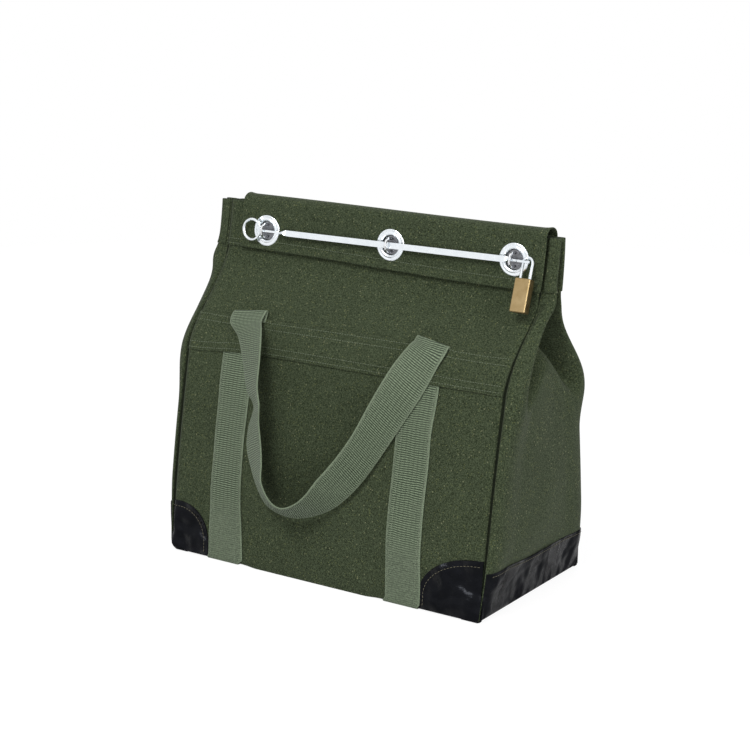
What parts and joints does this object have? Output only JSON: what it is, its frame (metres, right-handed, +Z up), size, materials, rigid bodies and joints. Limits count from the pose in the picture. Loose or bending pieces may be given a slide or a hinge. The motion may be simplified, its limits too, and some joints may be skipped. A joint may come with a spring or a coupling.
{
  "type": "bank deposit bag",
  "caption": "Canvas deposit bag with a folded mouth flap locked by a rod through staples and a brass padlock, webbing handles front and back, and leather foot patches.",
  "frame": {"origin": "centre of the base on the surface that the bag stands on", "axes": "+X to the wearer's right when facing the front, towards the padlock; +Y from the front to the back; +Z up"},
  "size_m": [0.5034, 0.3221, 0.4569],
  "materials": {
    "canvas": "matte",
    "webbing": "matte",
    "leather": "gloss",
    "board": "matte",
    "steel": "polished",
    "brass": "satin"
  },
  "bodies": {
    "bag": {"back_corner_left": "leather", "back_corner_right": "leather", "back_mouth_band": "canvas", "back_panel": "canvas", "back_reinforcement": "canvas", "base_board": "board", "base_panel": "canvas", "flap_tail": "canvas", "front_corner_left": "leather", "front_corner_right": "leather", "front_mouth_band": "canvas", "front_panel": "canvas", "front_reinforcement": "canvas", "gusset_left": "canvas", "gusset_right": "canvas", "pleat_band_left": "canvas", "pleat_band_right": "canvas", "side_strip_left": "leather", "side_strip_right": "leather", "staple_backing_left": "steel", "staple_backing_middle": "steel", "staple_backing_right": "steel", "staple_left": "steel", "staple_middle": "steel", "staple_right": "steel", "strap_left": "webbing", "strap_right": "webbing"},
    "flap": {"flap": "canvas", "eyelet_left": "steel", "eyelet_middle": "steel", "eyelet_right": "steel", "eyelet_washer_left": "steel", "eyelet_washer_middle": "steel", "eyelet_washer_right": "steel"},
    "lock_rod": {"lock_rod": "steel"},
    "pull_ring": {"pull_ring": "steel"},
    "padlock_shackle": {"padlock_shackle": "steel"},
    "padlock_body": {"padlock_body": "brass"},
    "key_plug": {"key_plug": "brass"},
    "front_handle": {"front_handle": "webbing"},
    "back_handle": {"back_handle": "webbing"}
  },
  "joints": [
    {"name": "flap_hinge", "type": "hinge", "parent": "bag", "child": "flap", "pos_m": [0, 0.01661, 0.446], "axis": [-1, 0, 0], "range_deg": [0, 0.5]},
    {"name": "rod_slide", "type": "slide", "parent": "bag", "child": "lock_rod", "axis": [1, 0, 0], "range_m": [-0.004, 0]},
    {"name": "pull_ring_swing", "type": "hinge", "parent": "lock_rod", "child": "pull_ring", "pos_m": [-0.1671, -0.01673, 0.41347], "axis": [0, 0.0872, 0.9962], "range_deg": [0, 100]},
    {"name": "padlock_swing", "type": "hinge", "parent": "lock_rod", "child": "padlock_shackle", "pos_m": [0.2248, -0.01673, 0.41347], "axis": [-1, 0, 0], "range_deg": [0, 15]},
    {"name": "padlock_drop", "type": "slide", "parent": "padlock_shackle", "child": "padlock_body", "axis": [0, -0.3173, -0.9483], "range_m": [0, 0.006]},
    {"name": "key_turn", "type": "hinge", "parent": "padlock_body", "child": "key_plug", "pos_m": [0.2293, -0.0338, 0.36245], "axis": [1, 0, 0], "range_deg": [0, 90]},
    {"name": "front_handle_swing", "type": "hinge", "parent": "bag", "child": "front_handle", "pos_m": [-0.0115, -0.05398, 0.31961], "axis": [-1, 0, 0], "range_deg": [0, 150]},
    {"name": "back_handle_swing", "type": "hinge", "parent": "bag", "child": "back_handle", "pos_m": [-0.0115, 0.06006, 0.31961], "axis": [1, 0, 0], "range_deg": [0, 150]}
  ]
}
